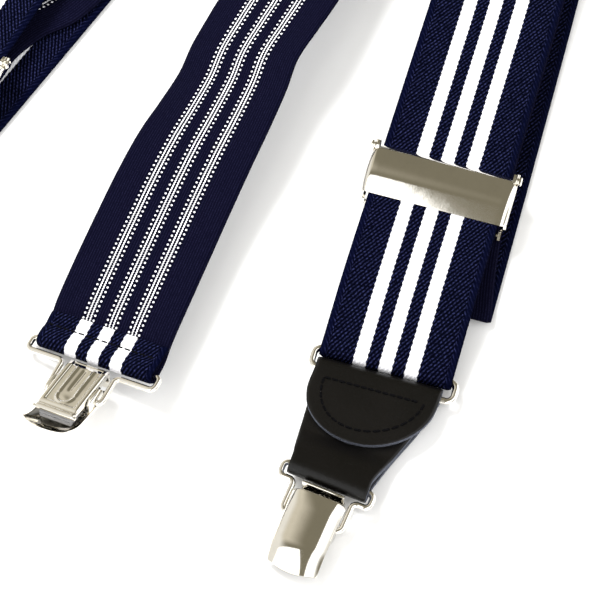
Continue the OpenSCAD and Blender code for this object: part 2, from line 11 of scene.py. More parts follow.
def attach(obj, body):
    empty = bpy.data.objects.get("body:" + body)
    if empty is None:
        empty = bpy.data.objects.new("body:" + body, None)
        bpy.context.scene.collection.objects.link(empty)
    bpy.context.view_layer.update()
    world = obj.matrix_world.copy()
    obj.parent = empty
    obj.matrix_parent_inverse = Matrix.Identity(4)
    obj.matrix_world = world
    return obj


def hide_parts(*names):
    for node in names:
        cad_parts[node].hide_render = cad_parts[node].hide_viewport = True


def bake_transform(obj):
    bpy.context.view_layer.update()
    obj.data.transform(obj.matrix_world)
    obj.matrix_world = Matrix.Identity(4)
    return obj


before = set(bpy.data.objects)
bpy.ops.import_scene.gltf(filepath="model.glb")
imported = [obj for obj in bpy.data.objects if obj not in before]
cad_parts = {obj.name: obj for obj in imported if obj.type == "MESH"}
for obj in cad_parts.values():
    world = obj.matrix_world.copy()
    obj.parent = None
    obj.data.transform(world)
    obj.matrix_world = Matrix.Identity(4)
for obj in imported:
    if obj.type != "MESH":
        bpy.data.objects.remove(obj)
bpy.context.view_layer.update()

MM = 0.001

# ---------- Sizes in millimetres, as in the CAD model ----------

WEB_W = 35.0
WEB_T = 1.3
WEB_HW = WEB_W / 2
Z_LAYER3 = WEB_T / 2
LOW_FOLD_R = 0.75
Z_LAYER2 = Z_LAYER3 + 2 * LOW_FOLD_R
Z_LAYER1 = 8.3
YOKE_T = 1.8
Z_YOKE_STRAP = YOKE_T + 0.1 + WEB_T / 2
TAB_T = 1.7
RING_WIRE_R = 0.9
RING_Z = 2.9
RING_HALF_H = 2.75
LOOP_R = RING_WIRE_R + 0.2 + WEB_T / 2
RINGS = {"right": (70.1, -291.7, 8.0), "left": (80.9, -312.1, 3.4)}
ADJ_Y = 55.0
ADJ_BAR_Y = -9.2
ADJ_BAR_Z = 5.2 - Z_LAYER1
BAR_LOOP_R = 0.75 + 0.15 + WEB_T / 2
COVER_R = 10.5
COVER_MID = (-0.8, -6.3)
COVER_HW = 19.75
COVER_T = 0.7
ADJ_PIN = (5.3, 1.9)
TAB_TOP_HW = 16.5
TAB_LOW_HW = 10.6
TAB_LOW_Y = -31.8
TAB_TOP_X = -0.7
TAB_SHIFT = -5.2
TAB_TURN = -6.5
TAB_LOW_Z = 4.25
TAB_LOOP_R = RING_WIRE_R + 0.2 + TAB_T / 2
BAIL_WIRE_R = 0.8
TAB_LOW_LOOP_R = BAIL_WIRE_R + 0.2 + TAB_T / 2
FLAP_END_Y = -21.5
BAIL_BAR_Y = 12.2
FRONT_TILT = 3.0
BACK_BAIL_TILT = -3.0
BACK_CLIP_TILT = -20.0
HEM_BAR = (2.0, -319.1, 6.4)
HEM_TURN = -1.0
HEM_ROLL = 13.0
HEM_HW = 17.2
HEM_LOOP_R = BAIL_WIRE_R + 0.2 + WEB_T / 2
HEM_TAIL = 8.0
HEM_SEAM_Y = 4.0
PLATE_HW = 6.9
PLATE_TOP_Y = 6.2
PLATE_TIP_Y = -14.4
PLATE_T = 0.8
PLATE_FLARE = 0.12
EAR_OUT_X = 6.8
EAR_T = 0.75
JAW_HW = 5.75
JAW_LIP_HW = 6.3
JAW_T = 0.7
PIN_HOLE_R = 0.85


# ---------- Placing ----------

def turned(axis, degrees):
    return Matrix.Rotation(math.radians(degrees), 4, axis)


def moved(x, y, z):
    return Matrix.Translation((x, y, z))


def side_frame(side):
    """The frame at a ring's middle, mirrored for the left side."""
    x, y, lean = RINGS[side]
    place = moved(x, y, RING_Z) @ turned("Z", lean)
    return Matrix.Diagonal((-1, 1, 1, 1)) @ place if side == "left" else place


def adjuster_frame(side):
    return side_frame(side) @ moved(0, ADJ_Y, Z_LAYER1 - RING_Z)


def clip_frame(side):
    """The frame at a clip's pivot, with +Z towards its front plate."""
    if side == "back":
        bar = moved(*HEM_BAR) @ turned("Z", HEM_TURN) @ turned("Y", -HEM_ROLL) @ turned("X", BACK_BAIL_TILT)
        pivot = bar @ moved(0, -BAIL_BAR_Y, 0) @ turned("X", BACK_CLIP_TILT - BACK_BAIL_TILT)
        return pivot @ turned("Y", 180)
    bar = moved(TAB_SHIFT, TAB_LOW_Y, TAB_LOW_Z - RING_Z) @ turned("Z", TAB_TURN)
    return side_frame(side) @ bar @ turned("X", FRONT_TILT) @ moved(0, -BAIL_BAR_Y, 0)


# ---------- Mesh building ----------

def new_mesh(name, verts, faces, place=None, smooth=True):
    """A mesh object from points in millimetres; a mirrored place flips its faces."""
    place = place or Matrix.Identity(4)
    pts = [(place @ Vector(v)) * MM for v in verts]
    if place.determinant() < 0:
        faces = [tuple(reversed(f)) for f in faces]
    me = bpy.data.meshes.new(name)
    me.from_pydata(pts, [], faces)
    me.validate()
    me.polygons.foreach_set("use_smooth", [smooth] * len(me.polygons))
    ob = bpy.data.objects.new(name, me)
    bpy.context.scene.collection.objects.link(ob)
    return ob


def unit(v):
    return v / np.linalg.norm(v)


def up_dir(turn):
    a = math.radians(turn)
    return np.array([-math.sin(a), math.cos(a), 0.0])


def across(turn, roll):
    a, r = math.radians(turn), math.radians(roll)
    return np.array([math.cos(a) * math.cos(r), math.sin(a) * math.cos(r), math.sin(r)])


def above(turn, roll):
    a, r = math.radians(turn), math.radians(roll)
    return np.array([-math.cos(a) * math.sin(r), -math.sin(a) * math.sin(r), math.cos(r)])


def smooth_run(pts, n):
    """A smooth line through chosen places, each [x, y, z, turn, roll]."""
    p = np.array(pts, float)
    out = []
    for i in range(len(p) - 1):
        a, b, c, d = p[max(i - 1, 0)], p[i], p[i + 1], p[min(i + 2, len(p) - 1)]
        for k in range(n):
            t = k / n
            out.append(0.5 * (2 * b + (c - a) * t + (2 * a - 5 * b + 4 * c - d) * t * t
                              + (3 * b - a - 3 * c + d) * t ** 3))
    return out + [p[-1]]


def half_turn(mid, turn, roll, r, way, a0, a1, n):
    """An arc about a line across the ribbon; 0 points along way * up, 90 points off its upper side."""
    out = []
    for k in range(n + 1):
        a = math.radians(a0 + (a1 - a0) * k / n)
        c = np.array(mid[:3]) + r * (math.cos(a) * way * up_dir(turn) + math.sin(a) * above(turn, roll))
        out.append(np.array([*c, turn, roll]))
    return out


def resample(line, step, extra=None):
    """The same line at even steps, with a list of further values carried along."""
    p = np.array(line)
    rows = p if extra is None else np.column_stack([p, extra])
    d = np.r_[0, np.cumsum(np.linalg.norm(np.diff(p[:, :3], axis=0), axis=1))]
    keep = np.r_[True, np.diff(d) > 1e-6]
    rows, d = rows[keep], d[keep]
    at = np.linspace(0, d[-1], int(d[-1] / step) + 1)
    return np.column_stack([np.interp(at, d, rows[:, k]) for k in range(rows.shape[1])]), at


def ribbon(name, line, hw, t, step, columns, edge_r=0.45, edge_h=0.35, place=None):
    """A closed ribbon with rounded edges. UV map 'web' holds millimetres across and along, over 100.

    Material 1 is on the side that across x tangent points to, 0 on the other and 2 on the edges and ends.
    """
    rows, at = resample(line, step, hw)
    mids, turns, rolls, half = rows[:, :3], rows[:, 3], rows[:, 4], rows[:, 5]
    tangent = np.gradient(mids, axis=0)
    section = [-1 + 2 * k / columns for k in range(columns + 1)]
    around = [(s, 1.0) for s in section] + [(s, -1.0) for s in reversed(section)]
    verts, uvs = [], []
    for i in range(len(mids)):
        w = across(turns[i], rolls[i])
        nrm = unit(np.cross(w, tangent[i]))
        for s, side in around:
            room = max(half[i] * (1 - abs(s)), 0.0)
            edge = min(room / edge_r, 1.0)
            h = t / 2 * (edge_h + (1 - edge_h) * math.sqrt(max(1 - (1 - edge) ** 2, 0)))
            verts.append(mids[i] + w * half[i] * s + nrm * side * h)
            uvs.append(((WEB_HW + half[i] * s) / 100, at[i] / 100))
    n = len(around)
    faces, mats = [], []
    for i in range(len(mids) - 1):
        for k in range(n):
            a, b = i * n + k, i * n + (k + 1) % n
            faces.append((a, a + n, b + n, b))
            mats.append(2 if k in (columns, n - 1) else (1 if k < columns else 0))
    for k in range(columns):
        faces.append((k, k + 1, n - 2 - k, n - 1 - k))
        mats.append(2)
        e = (len(mids) - 1) * n
        faces.append((e + k + 1, e + k, e + n - 1 - k, e + n - 2 - k))
        mats.append(2)
    ob = new_mesh(name, verts, faces, place)
    uv = ob.data.uv_layers.new(name="web")
    order = np.zeros(len(ob.data.loops), int)
    ob.data.loops.foreach_get("vertex_index", order)
    uv.data.foreach_set("uv", np.array(uvs)[order].ravel())
    ob.data.polygons.foreach_set("material_index", mats)
    return ob, float(at[-1])


def extruded(name, outline, hole, x0, x1, place, bevel=0.0):
    """A flat plate in the YZ plane from x0 to x1, with an optional round hole (y, z, r)."""
    loops = [[Vector((0, y, z)) for y, z in outline]]
    if hole:
        y, z, r = hole
        loops.append([Vector((0, y + r * math.cos(a), z + r * math.sin(a)))
                      for a in np.linspace(0, -2 * math.pi, 28, endpoint=False)])
    flat = [p for loop in loops for p in loop]
    tris = tessellate_polygon(loops)
    n = len(flat)
    verts = [(x0, p.y, p.z) for p in flat] + [(x1, p.y, p.z) for p in flat]
    faces = [tuple(t) for t in tris] + [tuple(i + n for i in reversed(t)) for t in tris]
    start = 0
    for loop in loops:
        m = len(loop)
        faces += [(start + i, start + (i + 1) % m, n + start + (i + 1) % m, n + start + i) for i in range(m)]
        start += m
    ob = new_mesh(name, verts, faces, place, smooth=False)
    fix_normals(ob)
    if bevel:
        rounded(ob, bevel)
    return ob


def fix_normals(ob):
    bm = bmesh.new()
    bm.from_mesh(ob.data)
    bmesh.ops.recalc_face_normals(bm, faces=bm.faces)
    bm.to_mesh(ob.data)
    bm.free()


def apply_modifiers(ob):
    graph = bpy.context.evaluated_depsgraph_get()
    me = bpy.data.meshes.new_from_object(ob.evaluated_get(graph))
    ob.modifiers.clear()
    ob.data = me


def rounded(ob, width, segments=2, angle=35):
    """Bevels sharp edges and shades the rest smooth."""
    mod = ob.modifiers.new("bevel", "BEVEL")
    mod.width = width * MM
    mod.segments = segments
    mod.limit_method = "ANGLE"
    mod.angle_limit = math.radians(angle)
    apply_modifiers(ob)
    ob.data.polygons.foreach_set("use_smooth", [True] * len(ob.data.polygons))
    mod = ob.modifiers.new("normals", "WEIGHTED_NORMAL")
    mod.keep_sharp = True
    apply_modifiers(ob)


def joined(name, parts):
    """Several meshes as one object."""
    verts, faces = [], []
    for p in parts:
        base = len(verts)
        verts += [tuple(v.co / MM) for v in p.data.vertices]
        faces += [tuple(base + i for i in f.vertices) for f in p.data.polygons]
        bpy.data.objects.remove(p)
    ob = new_mesh(name, verts, faces)
    mark_sharp(ob)
    return ob


def mark_sharp(ob, angle=40):
    ob.data.set_sharp_from_angle(angle=math.radians(angle))


def tube(points, radius, sides=10, cap=0.5):
    """Points and faces of a round tube with tapered ends."""
    p = np.array(points, float)
    tangent = np.gradient(p, axis=0)
    verts, faces = [], []
    for i in range(len(p)):
        t = unit(tangent[i])
        a = unit(np.cross(t, [0.03, 0.02, 1.0] if abs(t[2]) < 0.95 else [1.0, 0, 0]))
        b = np.cross(a, t)
        r = radius * (cap if i in (0, len(p) - 1) else 1)
        for k in range(sides):
            q = 2 * math.pi * k / sides
            verts.append(p[i] + r * (math.cos(q) * a + math.sin(q) * b))
    for i in range(len(p) - 1):
        for k in range(sides):
            u, v = i * sides + k, i * sides + (k + 1) % sides
            faces.append((u, v, v + sides, u + sides))
    faces.append(tuple(range(sides - 1, -1, -1)))
    faces.append(tuple((len(p) - 1) * sides + k for k in range(sides)))
    return verts, faces


def stitches(name, segments, up, lift, radius, place=None):
    """Threads from a list of (start, end): each an arched strand whose ends dive in."""
    verts, faces = [], []
    up = np.array(up, float)
    for a, b in segments:
        a, b = np.array(a, float), np.array(b, float)
        strand = [a + (b - a) * t + up * (lift * math.sin(math.pi * t) - 0.25 * (abs(2 * t - 1) ** 4))
                  for t in np.linspace(0, 1, 7)]
        v, f = tube(strand, radius, 8)
        base = len(verts)
        verts += [tuple(q) for q in v]
        faces += [tuple(base + i for i in face) for face in f]
    return new_mesh(name, verts, faces, place)


# ---------- Shader helpers ----------

class Nodes:
    """A short way to write a node tree."""

    def __init__(self, tree):
        self.tree = tree

    def put(self, socket, value):
        if isinstance(value, bpy.types.NodeSocket):
            self.tree.links.new(value, socket)
        else:
            socket.default_value = value

    def math(self, op, a, b=0.0, c=0.0, clamp=False):
        n = self.tree.nodes.new("ShaderNodeMath")
        n.operation = op
        n.use_clamp = clamp
        for socket, value in zip(n.inputs, (a, b, c)):
            self.put(socket, value)
        return n.outputs[0]

    def mix(self, f, a, b):
        n = self.tree.nodes.new("ShaderNodeMix")
        n.data_type = "RGBA"
        self.put(n.inputs["Factor"], f)
        for key, value in ((6, a), (7, b)):
            self.put(n.inputs[key], (*value, 1) if isinstance(value, tuple) else value)
        return n.outputs[2]

    def web(self):
        """Millimetres across and along the webbing."""
        n = self.tree.nodes.new("ShaderNodeUVMap")
        n.uv_map = "web"
        s = self.tree.nodes.new("ShaderNodeSeparateXYZ")
        self.tree.links.new(n.outputs[0], s.inputs[0])
        return self.math("MULTIPLY", s.outputs[0], 100.0), self.math("MULTIPLY", s.outputs[1], 100.0)

    def noise(self, scale, detail=2.0, vector=None, roughness=0.5):
        """Noise in the object's own space; scale is per metre."""
        n = self.tree.nodes.new("ShaderNodeTexNoise")
        n.inputs["Scale"].default_value = scale
        n.inputs["Detail"].default_value = detail
        n.inputs["Roughness"].default_value = roughness
        if vector is None:
            c = self.tree.nodes.new("ShaderNodeTexCoord")
            vector = c.outputs["Object"]
        self.tree.links.new(vector, n.inputs["Vector"])
        return n.outputs[0]

    def vector(self, x, y, z=0.0):
        n = self.tree.nodes.new("ShaderNodeCombineXYZ")
        for socket, value in zip(n.inputs, (x, y, z)):
            self.put(socket, value)
        return n.outputs[0]

    def step(self, value, low, high):
        """A smooth ramp from 0 at low to 1 at high."""
        n = self.tree.nodes.new("ShaderNodeMapRange")
        n.interpolation_type = "SMOOTHSTEP"
        self.put(n.inputs["Value"], value)
        n.inputs["From Min"].default_value = low
        n.inputs["From Max"].default_value = high
        return n.outputs[0]


class Surface(Nodes):
    """A new material's node tree."""

    def __init__(self, name):
        self.mat = bpy.data.materials.new(name)
        self.mat.use_nodes = True
        super().__init__(self.mat.node_tree)
        self.bsdf = self.tree.nodes["Principled BSDF"]

    def bump(self, height, distance, strength=1.0):
        n = self.tree.nodes.new("ShaderNodeBump")
        n.inputs["Strength"].default_value = strength
        n.inputs["Distance"].default_value = distance * MM
        self.tree.links.new(height, n.inputs["Height"])
        self.tree.links.new(n.outputs[0], self.bsdf.inputs["Normal"])

    def set(self, **values):
        for key, value in values.items():
            socket = self.bsdf.inputs[key.replace("_", " ")]
            if isinstance(value, tuple) and len(value) == 3:
                value = (*value, 1) if socket.type == "RGBA" else value
            self.put(socket, value)


# ---------- Webbing materials ----------

NAVY_DEEP = (0.0006, 0.0008, 0.0035)
# Painted highlight: a lighter blue put on the twill's ridge crests in place of real glints
NAVY_PAINTED_GLINT = (0.026, 0.031, 0.098)
NAVY_EDGE = (0.0013, 0.002, 0.012)
BACK_NAVY = (0.0022, 0.0022, 0.0085)
BACK_RIB = (0.0095, 0.0095, 0.028)
WHITE = (0.84, 0.84, 0.87)
# Painted shade colour for the grooves of the twill in the white stripes
WHITE_SHADE = (0.5, 0.5, 0.62)
STRIPE_MIDDLES = (10.7, 17.5, 24.3)
STRIPE_HW = 1.7


def stripe_distance(n, u):
    """Distance across from the nearest stripe's middle: the stripes repeat every 6.8 mm."""
    near = [n.math("ABSOLUTE", n.math("SUBTRACT", u, m)) for m in STRIPE_MIDDLES]
    return n.math("MINIMUM", n.math("MINIMUM", near[0], near[1]), near[2])


def webbing_face(name, pitch=0.9, depth=0.16):
    n = Surface(name)
    u, v = n.web()
    lean = math.radians(57)
    edge = n.math("SUBTRACT", WEB_HW, n.math("ABSOLUTE", n.math("SUBTRACT", u, WEB_HW)))
    flip = n.math("SUBTRACT", n.math("MULTIPLY", n.math("GREATER_THAN", edge, 1.9), 2.0), 1.0)
    wander = n.math("MULTIPLY", n.math("SUBTRACT", n.noise(900, 2), 0.5), 0.5)
    slant = n.math("ADD", n.math("MULTIPLY", n.math("MULTIPLY", u, math.sin(lean)), flip),
                   n.math("MULTIPLY", v, math.cos(lean)))
    phase = n.math("MULTIPLY", n.math("ADD", slant, wander), 2 * math.pi / pitch)
    ridge = n.math("MULTIPLY_ADD", n.math("SINE", phase), 0.5, 0.5)
    # Short floats along each ridge
    along = n.math("ADD", n.math("MULTIPLY", u, math.cos(lean)), n.math("MULTIPLY", v, -math.sin(lean)))
    row = n.math("FLOOR", n.math("DIVIDE", slant, pitch))
    bead_phase = n.math("ADD", n.math("MULTIPLY", along, 2 * math.pi / 1.15), n.math("MULTIPLY", row, 2.4))
    bead = n.math("MULTIPLY_ADD", n.math("SINE", bead_phase), 0.5, 0.5)
    height = n.math("MULTIPLY", ridge, n.math("MULTIPLY_ADD", bead, 0.35, 0.65))
    # Painted glint: ridge crests are coloured lighter blue, in patches, to stand in for highlights
    glint = n.math("MULTIPLY", n.step(ridge, 0.35, 1.0), n.math("MULTIPLY_ADD", bead, 0.75, 0.25))
    patch = n.noise(2200, 2)
    navy = n.mix(n.math("MULTIPLY", glint, n.step(patch, 0.25, 0.7)), NAVY_DEEP, NAVY_PAINTED_GLINT)
    border = n.step(edge, 2.1, 0.9)
    navy = n.mix(n.math("MULTIPLY", border, 0.8), navy, NAVY_EDGE)
    saw = n.math("MULTIPLY", n.math("SUBTRACT", ridge, 0.5), 0.2)
    inside = n.step(n.math("ADD", stripe_distance(n, u), saw), STRIPE_HW + 0.1, STRIPE_HW - 0.1)
    # Painted shade: bluish-grey lines painted into the twill's grooves across the white stripes
    groove_shade = n.math("MULTIPLY", n.step(ridge, 0.3, 0.0), n.step(n.noise(1500, 1), 0.35, 0.65))
    white = n.mix(n.math("MULTIPLY", groove_shade, 0.6), WHITE, WHITE_SHADE)
    n.set(Base_Color=n.mix(inside, navy, white), Roughness=0.6, Sheen_Weight=0.002, Sheen_Roughness=0.4,
          Specular_IOR_Level=0.008)
    calm = n.math("MULTIPLY_ADD", inside, -0.5, 1.0)
    n.bump(n.math("MULTIPLY", height, calm), depth)
    return n.mat


def webbing_back(name):
    n = Surface(name)
    u, v = n.web()
    off = stripe_distance(n, u)
    rib = n.math("MULTIPLY_ADD", n.math("SINE", n.math("MULTIPLY", u, 2 * math.pi / 0.72)), 0.5, 0.5)
    cross = n.math("MULTIPLY_ADD", n.math("SINE", n.math("MULTIPLY", v, 2 * math.pi / 0.68)), 0.5, 0.5)
    fuzz = n.noise(3500, 3)
    weave = n.math("MULTIPLY", n.step(rib, 0.1, 0.9), n.math("MULTIPLY_ADD", cross, 0.4, 0.6))
    ground = n.mix(n.math("MULTIPLY", weave, n.step(fuzz, 0.3, 0.7)), BACK_NAVY, BACK_RIB)
    in_group = n.step(off, 2.15, 1.95)
    ground = n.mix(n.math("MULTIPLY", in_group, 0.5), ground, NAVY_DEEP)
    # Two wavy lines and two columns of dots in each stripe
    wave = n.math("MULTIPLY", n.math("SINE", n.math("MULTIPLY", v, 2 * math.pi / 0.7)), 0.1)
    line_off = n.math("ABSOLUTE", n.math("SUBTRACT", n.math("ADD", off, wave), 0.5))
    lines = n.step(line_off, 0.23, 0.13)
    dot_u = n.math("SUBTRACT", off, 1.52)
    dot_v = n.math("MULTIPLY", n.math("SUBTRACT", n.math("FRACT", n.math("DIVIDE", v, 1.38)), 0.5), 1.38)
    dot_r = n.math("SQRT", n.math("ADD", n.math("MULTIPLY", dot_u, dot_u), n.math("MULTIPLY", dot_v, dot_v)))
    dots = n.step(dot_r, 0.36, 0.22)
    white = n.math("MAXIMUM", lines, dots)
    n.set(Base_Color=n.mix(white, ground, (0.86, 0.86, 0.9)), Roughness=0.75, Sheen_Weight=0.002,
          Sheen_Roughness=0.5, Specular_IOR_Level=0.01)
    n.bump(n.math("ADD", n.math("MULTIPLY", weave, 0.6), n.math("MULTIPLY", white, 0.7)), 0.12)
    return n.mat


def webbing_edge(name):
    n = Surface(name)
    _, v = n.web()
    cord = n.math("MULTIPLY_ADD", n.math("SINE", n.math("MULTIPLY", v, 2 * math.pi / 0.7)), 0.5, 0.5)
    n.set(Base_Color=n.mix(n.math("MULTIPLY", cord, n.noise(2500, 2)), NAVY_DEEP, NAVY_EDGE), Roughness=0.8,
          Sheen_Weight=0.002, Specular_IOR_Level=0.01)
    n.bump(cord, 0.1)
    return n.mat


# ---------- Leather, thread, metal and plastic ----------

def leather_top():
    n = Surface("leather_top")
    pores = n.noise(2600, 3)
    grain = n.noise(900, 4, roughness=0.65)
    worn = n.noise(60, 2)
    tone = n.mix(n.step(worn, 0.35, 0.7), (0.0014, 0.0012, 0.001), (0.0026, 0.0022, 0.002))
    tone = n.mix(n.math("MULTIPLY", n.step(pores, 0.6, 0.75), 0.35), tone, (0.012, 0.011, 0.0105))
    rough = n.math("MULTIPLY_ADD", grain, 0.14, 0.3)
    n.set(Base_Color=tone, Roughness=rough, Specular_IOR_Level=0.3)
    n.bump(n.math("ADD", n.math("MULTIPLY", grain, 0.7), n.math("MULTIPLY", pores, 0.5)), 0.09)
    return n.mat


def leather_raw(name, low, high):
    n = Surface(name)
    fibre = n.noise(3200, 4, roughness=0.7)
    n.set(Base_Color=n.mix(n.step(fibre, 0.3, 0.75), low, high), Roughness=0.9, Sheen_Weight=0.05,
          Sheen_Roughness=0.5, Specular_IOR_Level=0.1)
    n.bump(fibre, 0.3)
    return n.mat


def thread_material(name, low, high):
    n = Surface(name)
    twist = n.noise(5200, 2)
    n.set(Base_Color=n.mix(n.step(twist, 0.35, 0.65), low, high), Roughness=0.6, Specular_IOR_Level=0.05)
    n.bump(twist, 0.08)
    return n.mat


def metal(name, tone, rough, scratch=0.1):
    n = Surface(name)
    smear = n.noise(160, 4, roughness=0.7)
    fine = n.noise(5200, 2)
    colour = n.mix(n.step(smear, 0.3, 0.8), tone, tuple(c * 0.93 for c in tone))
    n.set(Base_Color=colour, Metallic=1.0,
          Roughness=n.math("MULTIPLY_ADD", n.step(smear, 0.45, 0.8), scratch, rough))
    n.bump(n.math("ADD", n.math("MULTIPLY", smear, 0.5), n.math("MULTIPLY", fine, 0.008)), 0.05, 0.3)
    return n.mat


def plastic():
    n = Surface("grip_plastic")
    mottle = n.noise(700, 3)
    n.set(Base_Color=n.mix(mottle, (0.32, 0.32, 0.33), (0.5, 0.5, 0.51)), Roughness=0.48)
    n.bump(n.noise(3000, 2), 0.04)
    return n.mat


FACE = webbing_face("webbing_face")
BACK = webbing_back("webbing_back")
EDGE = webbing_edge("webbing_edge")
LEATHER = leather_top()
LEATHER_BACK = leather_raw("leather_back", (0.02, 0.021, 0.024), (0.05, 0.052, 0.06))
LEATHER_EDGE = leather_raw("leather_edge", (0.035, 0.04, 0.055), (0.16, 0.175, 0.225))
THREAD = thread_material("black_thread", (0.0008, 0.0008, 0.001), (0.004, 0.004, 0.005))
NICKEL = metal("nickel_plate", (0.86, 0.83, 0.76), 0.07, 0.05)
WIRE = metal("nickel_wire", (0.86, 0.83, 0.77), 0.1, 0.05)
SPRING = metal("spring_wire", (0.55, 0.54, 0.53), 0.22)
PLASTIC = plastic()


def dress(ob, *materials):
    index = [p.material_index for p in ob.data.polygons]
    ob.data.materials.clear()
    for m in materials:
        ob.data.materials.append(m)
    ob.data.polygons.foreach_set("material_index", [min(i, len(materials) - 1) for i in index])


# ---------- Routes of the straps ----------

def on_strap(ring, y, z):
    d = up_dir(ring[2])
    return [ring[0] + y * d[0], ring[1] + y * d[1], z, ring[2], 0]


def front_routes(side):
    """Layers 3, 2 and 1 of a front strap, in right-hand places."""
    ring = RINGS[side]
    start = [[17.2, -18, Z_YOKE_STRAP, 20, 0], [21.4, -30, Z_YOKE_STRAP, 19, 0],
             [24.9, -40.5, Z_YOKE_STRAP, 18, 0], [29.3, -54, 1.4, 17, 0]]
    if side == "right":
        layer3 = start + [
            [38.5, -85, Z_LAYER3, 15, 0], [49.5, -130, Z_LAYER3, 11, 0], [56.5, -170, Z_LAYER3, 9, 0],
            [65.2, -225, Z_LAYER3, 9, 0], [71.8, -268, Z_LAYER3, 9, 0]]
        layer2 = [
            [71.8, -268, Z_LAYER2, 9, 0], [67, -253, Z_LAYER2, 12, 0], [61, -226, Z_LAYER2, 9, 0],
            [55.4, -187, Z_LAYER2, 8, 0], [49.8, -150, Z_LAYER2, 9, 0], [43, -112, Z_LAYER2 + 0.3, 11, 0],
            [37, -84, Z_LAYER2 + 1, 13, 0]]
        layer1 = [
            [37, -84, 12.6, 13, 0], [43, -110, 12.4, 12, 0], [49.4, -146, 10, 10, 0],
            on_strap(ring, 113, Z_LAYER1), on_strap(ring, 90, Z_LAYER1), on_strap(ring, 60, Z_LAYER1),
            on_strap(ring, 26, Z_LAYER1), on_strap(ring, 12, 6.2)]
    else:
        layer3 = start + [
            [38, -85, Z_LAYER3, 14, 0], [47.5, -130, Z_LAYER3, 10, 0], [54.5, -170, Z_LAYER3, 9, 0],
            [62.6, -219, Z_LAYER3, 9, 0], [70.9, -268, Z_LAYER3, 8, 0], [74, -286, Z_LAYER3, 8, 0]]
        layer2 = [
            [74, -286, Z_LAYER2, 8, 0], [77, -268, Z_LAYER2, 4, 0], [77.4, -248, Z_LAYER2, 4, 0],
            [73, -234, Z_LAYER2, 12, 0], [65.4, -222, Z_LAYER2, 14, 0], [58.5, -196, Z_LAYER2, 12, 0],
            [52, -160, Z_LAYER2, 10, 0], [46, -124, Z_LAYER2 + 0.3, 10, 0], [40.5, -92, Z_LAYER2 + 1, 11, 0]]
        layer1 = [
            [40.5, -92, 12.6, 11, 0], [46.5, -118, 12.4, 13, 0], [56, -150, 10.2, 14, 0],
            [67, -183, 8.7, 9, 0], on_strap(ring, 112, Z_LAYER1), on_strap(ring, 88, Z_LAYER1),
            on_strap(ring, 55, Z_LAYER1), on_strap(ring, 26, Z_LAYER1), on_strap(ring, 12, 6.2)]
    return layer3, layer2, layer1


def front_line(side):
    ring = RINGS[side]
    layer3, layer2, layer1 = front_routes(side)
    low, top = layer2[0], layer2[-1]
    bar = on_strap(ring, RING_HALF_H, RING_Z)
    top_r = (layer1[0][2] - top[2]) / 2
    last = [bar[0], bar[1], RING_Z + LOOP_R, ring[2], 0]
    low_mid = (low[0], low[1], (Z_LAYER2 + Z_LAYER3) / 2)
    return (smooth_run(layer3, 12) + half_turn(low_mid, low[3], 0, LOW_FOLD_R, -1, -80, 80, 12)
            + smooth_run(layer2, 12)
            + half_turn((top[0], top[1], top[2] + top_r), top[3], 0, top_r, 1, -80, 80, 16)
            + smooth_run(layer1 + [last], 12) + half_turn(bar, ring[2], 0, LOOP_R, -1, 86, -90, 20))


def return_line(side):
    ring = RINGS[side]
    bar = on_strap(ring, ADJ_Y + ADJ_BAR_Y, Z_LAYER1 + ADJ_BAR_Z)
    low = bar[2] - BAR_LOOP_R
    run = [on_strap(ring, RING_HALF_H + 0.05, RING_Z - LOOP_R), on_strap(ring, 8, RING_Z - LOOP_R + 0.6),
           on_strap(ring, 16, low - 0.5), on_strap(ring, 21, low), on_strap(ring, 34, low),
           on_strap(ring, ADJ_Y + ADJ_BAR_Y - 1, low)]
    tail = [on_strap(ring, ADJ_Y + ADJ_BAR_Y - y, bar[2] + BAR_LOOP_R) for y in (2, 4.5)]
    bend = half_turn(bar, ring[2], 0, BAR_LOOP_R, 1, -88, 88, 18)
    return smooth_run(run, 8) + bend + [np.array(p) for p in tail]


def hem_at(y, z):
    """A place y up the strap from the bail's bar and z off the strap."""
    p = np.array(HEM_BAR) + y * up_dir(HEM_TURN) + z * above(HEM_TURN, HEM_ROLL)
    return [*p, HEM_TURN, HEM_ROLL]


BACK_RUN = [
    [1.5, -308, 6.3, 0, 12], [0.8, -296, 7.2, 0, 11], [-0.1, -280, 7.6, 0, 11], [-0.7, -266, 8.2, 0, 12],
    [-0.8, -254, 9, 0, 14.5], [-0.6, -243, 9, 0, 19], [-0.7, -232, 8.8, 0, 23], [-1.2, -223, 10.4, 0, 24.5],
    [-0.3, -213, 11.4, 0, 22.5], [0.2, -204, 11.2, 0, 20], [0.2, -188, 11.8, 0, 12], [0, -150, 13, 0, 3],
    [0, -100, 10.5, 0, 0], [0, -40, 8.4, 0, 0], [0, 20, 8.2, 0, 0], [0, 50, 8.1, 0, 0]
]


def back_line():
    fold_r = (8.1 - Z_YOKE_STRAP) / 2
    tail = smooth_run([hem_at(HEM_TAIL, HEM_LOOP_R - 0.75), hem_at(HEM_TAIL - 1.8, HEM_LOOP_R - 0.6),
                       hem_at(HEM_SEAM_Y, HEM_LOOP_R - 0.85), hem_at(2, HEM_LOOP_R - 0.2),
                       hem_at(0.1, HEM_LOOP_R)], 8)
    line = tail + half_turn(HEM_BAR, HEM_TURN, HEM_ROLL, HEM_LOOP_R, -1, 88, -88, 20)
    line += smooth_run([hem_at(0.4, -HEM_LOOP_R), hem_at(2, -HEM_LOOP_R + 0.15), hem_at(5, -HEM_LOOP_R + 0.5)]
                       + BACK_RUN, 12)
    line += half_turn((0, 50, Z_YOKE_STRAP + fold_r), 0, 0, fold_r, 1, 88, -90, 16)
    return line + [np.array([0, y, Z_YOKE_STRAP, 0, 0]) for y in (44, 20, -2)]


# ---------- Straps ----------

def place_of(side):
    return Matrix.Diagonal((-1, 1, 1, 1)) if side == "left" else None


